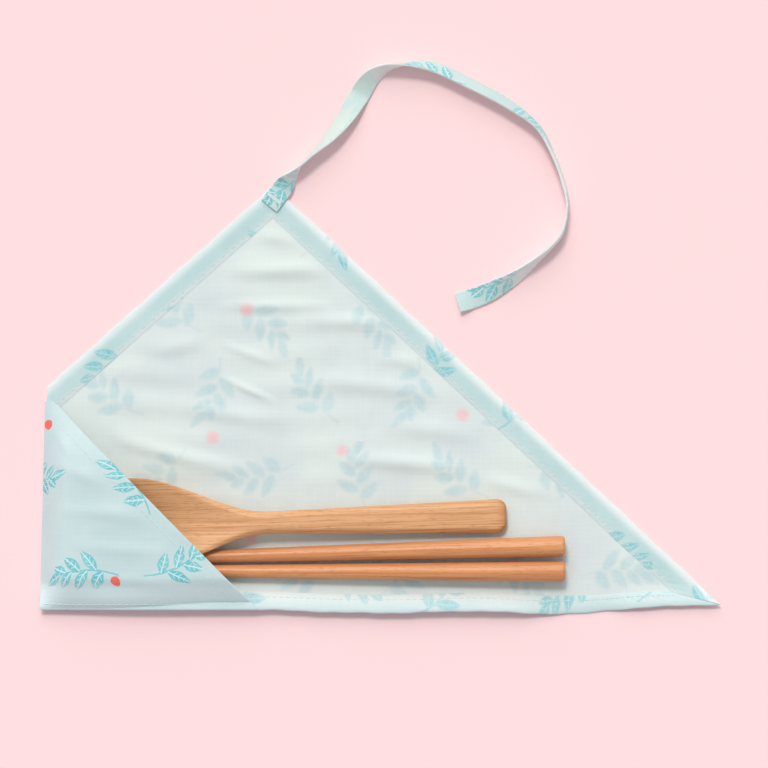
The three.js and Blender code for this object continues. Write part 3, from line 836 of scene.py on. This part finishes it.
# The rows past the pocket's foot, and how far the cloth turns down there
FOOT_ROWS = ((-0.42, 0.45), (-0.3, 0.22), (-0.05, 0.04))
POCKET_CREASES = (
    (6, 45, 50, 40, 3.2, 0.8),
    (10, 31, 62, 25, 3.2, 0.7),
    (6, 66, 30, 54, 2.8, 0.7),
    (5, 84, 17, 62, 2.2, 0.5),
    (14, 14, 80, 9, 2.6, 0.4),
    (3, 22, 24, 8, 2.8, 0.5),
)


def swell(t):
    """A quarter of a sine wave, from 0 to 1."""
    return np.sin(np.clip(t, 0, 1) * np.pi / 2)


def seam_band(across):
    """How wide the cloth is sewn down flat along the pocket's foot."""
    return lerp(*SEAM_BAND, ease((across - 25) / 60))


def pocket_height(across, up):
    """The middle of the pocket's cloth over the cutlery."""
    from_fold = swell((across - fold_across(up)) / LEFT_RAMP)
    band = seam_band(across)
    from_seam = swell((up - band) / (BOWL_LOW - band))
    from_top = swell((POCKET_TOP - up) / (POCKET_TOP - BOWL_HIGH))
    shape = from_fold * from_seam * from_top
    soft = 0.12 * np.sin(up / 2.9 + np.sin(across / 13)) * np.sin(across / 17)
    soft = soft + crease(across, up, POCKET_CREASES)
    foot = POCKET_FOOT + CLOTH / 2 + lift(across, up)
    return foot + (POCKET_ROOF - POCKET_FOOT) * shape + soft * np.clip(shape * 2, 0, 1)


def pocket():
    """The sheet from the fold at the left, over the cutlery, round the mouth's edge and back under it."""
    rows = [*FOOT_ROWS, *((up, 0.0) for up in POCKET_TOP * np.linspace(0.004, 1, 96) ** 1.2)]
    grid = []
    flat = []
    for up, drop in rows:
        inside = max(up, 0.0)
        fold = float(fold_across(inside))
        mouth = lerp(MOUTH_FOOT[0], MOUTH_TOP[0], inside / POCKET_TOP)
        turn = np.radians(np.linspace(-90, 90, 11)[:-1])
        arc = np.stack([fold - FOLD_RADIUS * np.cos(turn), FOLD_LEVEL + FOLD_RADIUS * np.sin(turn)], -1)
        arc[:, 1] += lift(fold, inside)
        edge = mouth - MOUTH_RADIUS
        across = lerp(fold, edge, np.linspace(0, 1, 70) ** 1.15)
        roof = np.stack([across, pocket_height(across, inside)], -1)
        raised = float(ease((roof[-1, 1] - 2.1) / 1.2))
        turn = np.radians(np.linspace(0, 180, 9)[1:])
        rim = np.stack([
            edge + MOUTH_RADIUS * np.sin(turn),
            roof[-1, 1] - MOUTH_RADIUS * raised * (1 - np.cos(turn)),
        ], -1)
        back = min(MOUTH_TURN_UNDER, (mouth - fold) / 2) * raised
        inwards = edge - np.linspace(0, 1, 9)[1:] * back
        under = np.stack([inwards, pocket_height(inwards, inside) - 2 * MOUTH_RADIUS * raised], -1)
        line = np.vstack([arc, roof, rim, under])
        line[len(arc):, 1] -= drop
        for _ in range(8):
            line[4:28] = (line[3:27] + 2 * line[4:28] + line[5:29]) / 4
        steps = np.linalg.norm(np.diff(line, axis=0), axis=1)
        gone = np.concatenate([[0], np.cumsum(steps)])
        grid.append(np.stack([line[:, 0], np.full(len(line), up), line[:, 1]], -1))
        flat.append(spread(fold - gone, up))
    grid = np.array(grid)
    flat = np.array(flat)
    by_row = np.gradient(grid, axis=0)
    by_column = np.gradient(grid, axis=1)
    normal = np.cross(by_column, by_row)
    size = np.linalg.norm(normal, axis=2, keepdims=True)
    normal = normal / np.maximum(size, 1e-9)
    outer = grid + normal * CLOTH / 2
    inner = grid - normal * CLOTH / 2
    faces = grid_faces(*grid.shape[:2])
    skins = outer.reshape(-1, 3), inner.reshape(-1, 3)
    made = slab("pocket_cloth", *skins, faces, flat.reshape(-1, 2), [PRINTED, INSIDE])
    # Painted light: the pocket's lower slope, which faces away from the lamps, is made paler
    on_slope = ease((13.5 - grid[..., 1]) / 4) * ease((grid[..., 1] - seam_band(grid[..., 0])) / 1.2)
    mark_painted_light(made, np.tile(0.7 * on_slope.ravel(), 2))
    return made


pocket_cloth = pocket()


def on_pocket(across, up):
    """Points on the pocket's outside, and the normals there."""
    points = np.stack([across, up, pocket_height(across, up)], -1)
    small = 0.2
    by_across = (pocket_height(across + small, up) - pocket_height(across - small, up)) / (2 * small)
    by_up = (pocket_height(across, up + small) - pocket_height(across, up - small)) / (2 * small)
    normal = unit(np.stack([-by_across, -by_up, np.ones_like(across)], -1))
    return points + normal * CLOTH / 2, normal


def mouth_path(distance):
    across = MOUTH_FOOT[0] - MOUTH_STITCH_INSET + MOUTH_ALONG[0] * distance
    return on_pocket(across, MOUTH_FOOT[1] + MOUTH_ALONG[1] * distance)


def foot_path(distance):
    return on_pocket(distance, np.full(distance.shape, SEAM_STITCH_UP))


mouth_sewn = stitches("mouth_stitches", mouth_path, MOUTH_SEWN, start=4.0)
seam_sewn = stitches("pocket_seam_stitches", foot_path, POCKET_LENGTH - 5)


# Tie: a ribbon sewn flat on the apex, which turns on edge where it leaves the cloth

TIE_WIDTH = 9.0
TIE_THICKNESS = 1.2
TIE_ALONG = np.array([math.cos(math.radians(52)), math.sin(math.radians(52))])
TIE_ROOT = APEX + np.array([5.0, 0.0])
TIE_SEAM = 3.4
TIE_SEAM_LEVEL = 0.44
TIE_SEAM_START = 16.0
# Across, up, turn about its own length in degrees, and the height of what it rests on
TIE_ROUTE = [
    (*(TIE_ROOT + TIE_ALONG * -11.0), 0, 1.4), (*(TIE_ROOT + TIE_ALONG * -5.0), 0, 1.4),
    (*(TIE_ROOT + TIE_ALONG * 0.0), 14, 1.3), (*(TIE_ROOT + TIE_ALONG * 5.3), 60, 0.5),
    (116.8, 199, 92, 0.1), (122.5, 204.5, 100, 0.1), (130, 212, 124, 0.1), (137, 221, 148, 0.1),
    (142.5, 230, 176, 0.1), (149, 239, 222, 0.1), (159, 243.5, 265, 0.1), (174.5, 243.5, 302, 0.1),
    (191.5, 236, 303, 0.1), (209.5, 226.5, 300, 0.1), (223, 216, 287, 0.1), (230, 203, 280, 0.1),
    (234.5, 190.5, 279, 0.1), (236.2, 180, 276, 0.1), (233.5, 168, 276, 0.1), (225.5, 159, 281, 0.1),
    (213, 148.9, 308, 0.1), (202, 142.6, 338, 0.1), (194, 139.3, 358, 0.1), (187, 137.2, 376, 0.1),
]


def spline(points, per_span):
    """A Catmull-Rom curve through the points."""
    points = np.asarray(points, float)
    padded = np.vstack([2 * points[0] - points[1], points, 2 * points[-1] - points[-2]])
    t = (np.arange(per_span) / per_span)[:, None]
    made = []
    for a, b, c, d in zip(padded, padded[1:], padded[2:], padded[3:]):
        square = 2 * a - 5 * b + 4 * c - d
        cube = 3 * b - a - 3 * c + d
        made.append((2 * b + (c - a) * t + square * t ** 2 + cube * t ** 3) / 2)
    return np.vstack([*made, points[-1:]])


def tie_line():
    """The ribbon's middle line, and the directions of its width and thickness along it."""
    path = spline(TIE_ROUTE, 12)
    turn = np.radians(path[:, 2])
    along = unit(np.gradient(path[:, :2], axis=0))
    level = np.stack([-along[:, 1], along[:, 0], np.zeros(len(path))], -1)
    wide = level * np.cos(turn)[:, None] + UP * np.sin(turn)[:, None]
    thin = UP * np.cos(turn)[:, None] - level * np.sin(turn)[:, None]
    height = (np.abs(wide[:, 2]) * TIE_WIDTH + np.abs(thin[:, 2]) * TIE_THICKNESS) / 2 + path[:, 3]
    return np.column_stack([path[:, :2], height]), wide, thin


def to_light(tilt):
    """The way to a light with this tilt."""
    back, left = np.radians(tilt)
    return np.array([-math.cos(back) * math.sin(left), math.sin(back), math.cos(back) * math.cos(left)])


def tie():
    """The ribbon with its two rows of stitches, its middle line and its length."""
    middle, wide, thin = tie_line()
    gone = np.concatenate([[0], np.cumsum(np.linalg.norm(np.diff(middle, axis=0), axis=1))])
    offsets = np.array([-4.5, -4.35, -3.9, -3.4, -2.9, -1.9, -0.7, 0.7, 1.9, 2.9, 3.4, 3.9, 4.35, 4.5])
    swelling = np.array([0.22, 0.42, 0.52, 0.44, 0.53, 0.58, 0.6, 0.6, 0.58, 0.53, 0.44, 0.52, 0.42, 0.22])
    width = np.concatenate([offsets, offsets[::-1]])
    thick = np.concatenate([swelling, -swelling[::-1]])
    wave = 0.1 * np.sin(gone / 2.3 + 1.5 * np.sin(gone / 7))
    level = thick + wave[:, None] * np.sign(thick) * 0.5
    rings = middle[:, None] + wide[:, None] * width[:, None] + thin[:, None] * level[..., None]
    # The ribbon starts 12 along in the print, and its two faces are 20 and 88 up in it
    flat = spread(gone[:, None] + 12, width + np.where(thick > 0, 20, 88))
    ribbon = loft("tie_ribbon", rings, flat, [LAYERED, LAYERED_INSIDE])
    half = len(offsets)
    count = len(width)
    which = [int(i % count >= half - 1) for i in range((len(middle) - 1) * count)] + [0, 0]
    ribbon.data.polygons.foreach_set("material_index", which)
    # Painted light: the side facing away from the key light is paler, standing in for light through the
    # ribbon
    lit = np.outer(thin @ to_light(KEY_TILT), np.sign(thick))
    mark_painted_light(ribbon, ease((0.6 - lit) / 0.6))

    def seam_on(face):
        def path(distance):
            def between(values):
                return np.stack([np.interp(distance, gone, values[:, i]) for i in range(3)], -1)

            out = between(thin) * face
            return between(middle) + between(wide) * TIE_SEAM + out * TIE_SEAM_LEVEL, out
        return path

    sewn = [
        stitches(f"tie_stitches_{label}", seam_on(face), gone[-1] - 2, start=TIE_SEAM_START)
        for label, face in (("front", 1), ("back", -1))
    ]
    return ribbon, sewn, middle, gone[-1]


tie_ribbon, tie_sewn, tie_middle, tie_length = tie()


def bar_tack():
    """A close zigzag of thread across the ribbon's sewn end."""
    inset = -7.0
    half_length = 0.95
    level = 2.72
    count = 15
    aside = np.array([-TIE_ALONG[1], TIE_ALONG[0]])
    t = np.repeat(np.linspace(-TIE_SEAM, TIE_SEAM, count), 2)
    swing = np.tile([-half_length, half_length], count)
    corners = TIE_ROOT + TIE_ALONG * (inset + swing)[:, None] + aside * t[:, None]
    line = spline(np.column_stack([corners, np.full(len(corners), level)]), 4)
    turn, out = ring(np.cross(unit(np.gradient(line, axis=0)), UP), UP, THREAD_SIDES)
    rings = line[:, None] + THREAD_RADIUS * out
    flat = spread(np.arange(len(line))[:, None] * 0.5, turn * THREAD_RADIUS)
    return loft("bar_tack_thread", rings, flat, [THREAD])


bar_tack_thread = bar_tack()


# Cutlery

SPOON_TIP = np.array([14.0, 36.2, 2.714])
SPOON_TURN = 0.027952
BOWL_LENGTH = 88.0
BOWL_WIDEST = 28.0
BOWL_WIDTH = 43.6
BOWL_DEPTH = 7.4
BOWL_WALL = 2.4
BOWL_TIP_DROP = 1.8
NECK_WIDTH = 9.9
NECK_RISE = 4.2
HANDLE_WIDTH = 15.4
HANDLE_THICKNESS = 6.0
HANDLE_CORNER = 4.5
HANDLE_BEVEL = 2.1
HANDLE_END_ROUND = 1.5
BED = 0.8
# The height at the bevel's foot, the part of it that is rounded and its softness, as shares
BEVEL_FOOT = 0.16
BEVEL_ROUND = 0.12
BEVEL_SOFT = 0.02
STICK_REACH = (11.0, 235.0)
STICK_LEVELS = (2.9, 6.65)
STICK_TIP = 2.1
STICK_BUTT = 4.65
STICK_ROUND = 1.6
STICK_GRAIN = 4.5


def spoon_section(along):
    """Half width, height on the centre line, rise of the rim and thickness at a place along the spoon, and
    how far its section there is the handle's."""
    to_tip = np.clip(1 - along / BOWL_WIDEST, 0, 1)
    to_neck = ease((along - BOWL_WIDEST) / (BOWL_LENGTH - BOWL_WIDEST))
    on_handle = np.clip((along - BOWL_LENGTH) / (SPOON_LENGTH - BOWL_LENGTH), 0, 1)
    handle = lerp(NECK_WIDTH, HANDLE_WIDTH, on_handle) / 2
    corner = np.clip(along - (SPOON_LENGTH - HANDLE_CORNER), 0, HANDLE_CORNER)
    half = lerp(BOWL_WIDTH / 2, handle, to_neck) - HANDLE_CORNER + np.sqrt(HANDLE_CORNER ** 2 - corner ** 2)
    half = np.where(along < BOWL_WIDEST, BOWL_WIDTH / 2 * np.sqrt(1 - to_tip ** 2), half)
    bottom = BOWL_WALL / 2
    end_drop = SPOON_TIP[2] + bottom + NECK_RISE - HANDLE_THICKNESS / 2 - BED
    centre = lerp(bottom, bottom + NECK_RISE, to_neck) - end_drop * on_handle
    centre = centre + (BOWL_DEPTH - BOWL_TIP_DROP) * to_tip ** 2
    dish = lerp(BOWL_DEPTH, 0, to_neck) * (1 - to_tip ** 2)
    wall = lerp(BOWL_WALL, HANDLE_THICKNESS, to_neck)
    end = np.clip((SPOON_LENGTH - along) / HANDLE_END_ROUND, 0, 1)
    return half, centre, dish, wall * np.sqrt(1 - (1 - end) ** 2), to_neck


def squarish(share):
    """A sine or cosine for a ring that is squarer than a circle."""
    return np.sign(share) * np.abs(share) ** 0.7


def spoon():
    quarter = np.pi / 2
    corner = SPOON_LENGTH - HANDLE_CORNER
    stations = np.concatenate([
        BOWL_WIDEST * (1 - np.cos(np.linspace(0.015, 1, 34) * quarter)),
        np.linspace(BOWL_WIDEST, BOWL_LENGTH, 60)[1:],
        np.linspace(BOWL_LENGTH, corner, 30)[1:],
        corner + HANDLE_CORNER * np.sin(np.linspace(0, 0.985, 22)[1:] * quarter),
    ])
    half, centre, dish, wall, to_neck = (x[:, None] for x in spoon_section(stations))
    turn = np.linspace(0, 2 * np.pi, 73)[:-1]
    across = squarish(np.cos(turn))[None, :]
    aside = half * across
    crowned = squarish(np.sin(turn))[None, :]
    from_edge = (half - np.abs(aside)) / HANDLE_BEVEL
    sloped = lerp(BEVEL_FOOT, 1, from_edge)
    rounded = np.sqrt(np.clip(from_edge / BEVEL_ROUND, 0, 1))
    topped = (sloped + 1 - np.sqrt((sloped - 1) ** 2 + BEVEL_SOFT)) / 2
    bevelled = np.sign(crowned) * rounded * topped
    height = centre + dish * np.abs(across) ** 1.8 + wall / 2 * lerp(crowned, bevelled, to_neck)
    along = np.broadcast_to(stations[:, None], aside.shape)
    cos, sin = math.cos(SPOON_TURN), math.sin(SPOON_TURN)
    rings = np.stack([along * cos - aside * sin, along * sin + aside * cos, height], -1) + SPOON_TIP
    # The underside has its own stretch of the grain
    flat = spread(along, aside + np.where(np.sin(turn) < -0.02, 70, 0))
    return loft("spoon_carved", rings, flat, [BAMBOO])


def chopstick(name, tip_up, butt_up, shift):
    """A tapered round stick between its two ends; shift gives it its own stretch of the grain."""
    tip, butt = (np.array([*place]) for place in zip(STICK_REACH, (tip_up, butt_up), STICK_LEVELS))
    length = np.linalg.norm(butt - tip)
    nose = np.linspace(0.06, 1, 10) * np.pi / 2
    rim = np.linspace(0, 1, 10) * np.pi / 2
    body = np.linspace(0, 1, 90)[1:-1]
    place = np.concatenate([
        STICK_TIP * (1 - np.cos(nose)),
        lerp(STICK_TIP, length - STICK_ROUND, body),
        length - STICK_ROUND + STICK_ROUND * np.sin(rim),
        [length],
    ])
    radius = np.concatenate([
        STICK_TIP * np.sin(nose),
        lerp(STICK_TIP, STICK_BUTT, body),
        STICK_BUTT - STICK_ROUND + STICK_ROUND * np.cos(rim),
        [0.05],
    ])
    along = (butt - tip) / length
    side = unit(np.cross(UP, along))
    turn, out = ring(side, np.cross(along, side), 48)
    rings = tip + along * place[:, None, None] + out[None] * radius[:, None, None]
    flat = spread(place[:, None] + shift, turn * STICK_GRAIN + shift)
    return loft(name, rings, flat, [STICK_WOOD])


spoon_carved = spoon()
chopstick_rear = chopstick("chopstick_rear_turned", 21.4, 28.2, 40)
chopstick_front = chopstick("chopstick_front_turned", 16.7, 16.7, 150)


# What each piece rides on, and the CAD parts that are hidden


for one in (wrap_cloth, left_hem, left_sewn, right_hem, right_sewn):
    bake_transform(one)
for one in (tail_cloth, tail_low_hem, tail_low_sewn, tail_high_hem, tail_high_sewn):
    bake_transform(one)
for one in (bottom_hem, bottom_sewn, pocket_cloth, mouth_sewn, seam_sewn):
    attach(one, "base")
for one in (tie_ribbon, *tie_sewn):
    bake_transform(one)
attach(bar_tack_thread, "flap")
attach(spoon_carved, "spoon")
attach(chopstick_rear, "chopstick_rear")
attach(chopstick_front, "chopstick_front")

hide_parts("base_panel", "flap_panel")
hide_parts("tail_panel")
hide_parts("base_bottom_hem")
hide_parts("tail_bottom_hem")
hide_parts("tail_right_hem")
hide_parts("base_right_hem", "flap_right_hem")
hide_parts("flap_left_hem", "corner_hem")
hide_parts("pocket_panel", "pocket_mouth_hem", "left_fold")
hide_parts("tie_tab", "tie_strap")
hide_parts("tie_bar_tack")
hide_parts("spoon")
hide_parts("chopstick_rear")
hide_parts("chopstick_front")


# Table and background

FLOOR_HALF = 4.0
FLOOR_LEVEL = -0.0001


def table_finish():
    made, tree = material("table")
    place = tree.add("TexCoord").outputs["Object"]
    cloud = tree.noise(place, 3.0, 2.0)
    colour = tree.mix(cloud, rgb(254, 221, 223), rgb(252, 219, 223))
    grain = tree.noise(place, 900.0, 2.0)
    finish_shader(tree, colour, 0.9, grain, 0.00003, specular=0.1)
    return made


floor_mesh = bpy.data.meshes.new("floor")
corners = [(x * FLOOR_HALF, y * FLOOR_HALF, FLOOR_LEVEL) for x, y in ((-1, -1), (1, -1), (1, 1), (-1, 1))]
floor_mesh.from_pydata(corners, [], [(0, 1, 2, 3)])
floor_mesh.materials.append(table_finish())
floor = link("floor", floor_mesh)

world = bpy.data.worlds.new("studio")
scene.world = world
world.use_nodes = True
world.node_tree.nodes.clear()
sky = Tree(world.node_tree)
ray = sky.add("LightPath").outputs
seen = sky.math("MAXIMUM", ray["Is Camera Ray"], ray["Is Glossy Ray"])
seen = sky.math("MAXIMUM", seen, ray["Is Transmission Ray"])
light = sky.add("Background", {"Color": (0.955, 1.0, 1.015, 1.0), "Strength": 0.48})
shown = sky.add("Background", {"Color": rgb(254, 222, 224), "Strength": 1.0})
both = sky.add("MixShader", {0: seen, 1: light.outputs[0], 2: shown.outputs[0]})
sky.add("OutputWorld", {0: both.outputs[0]})
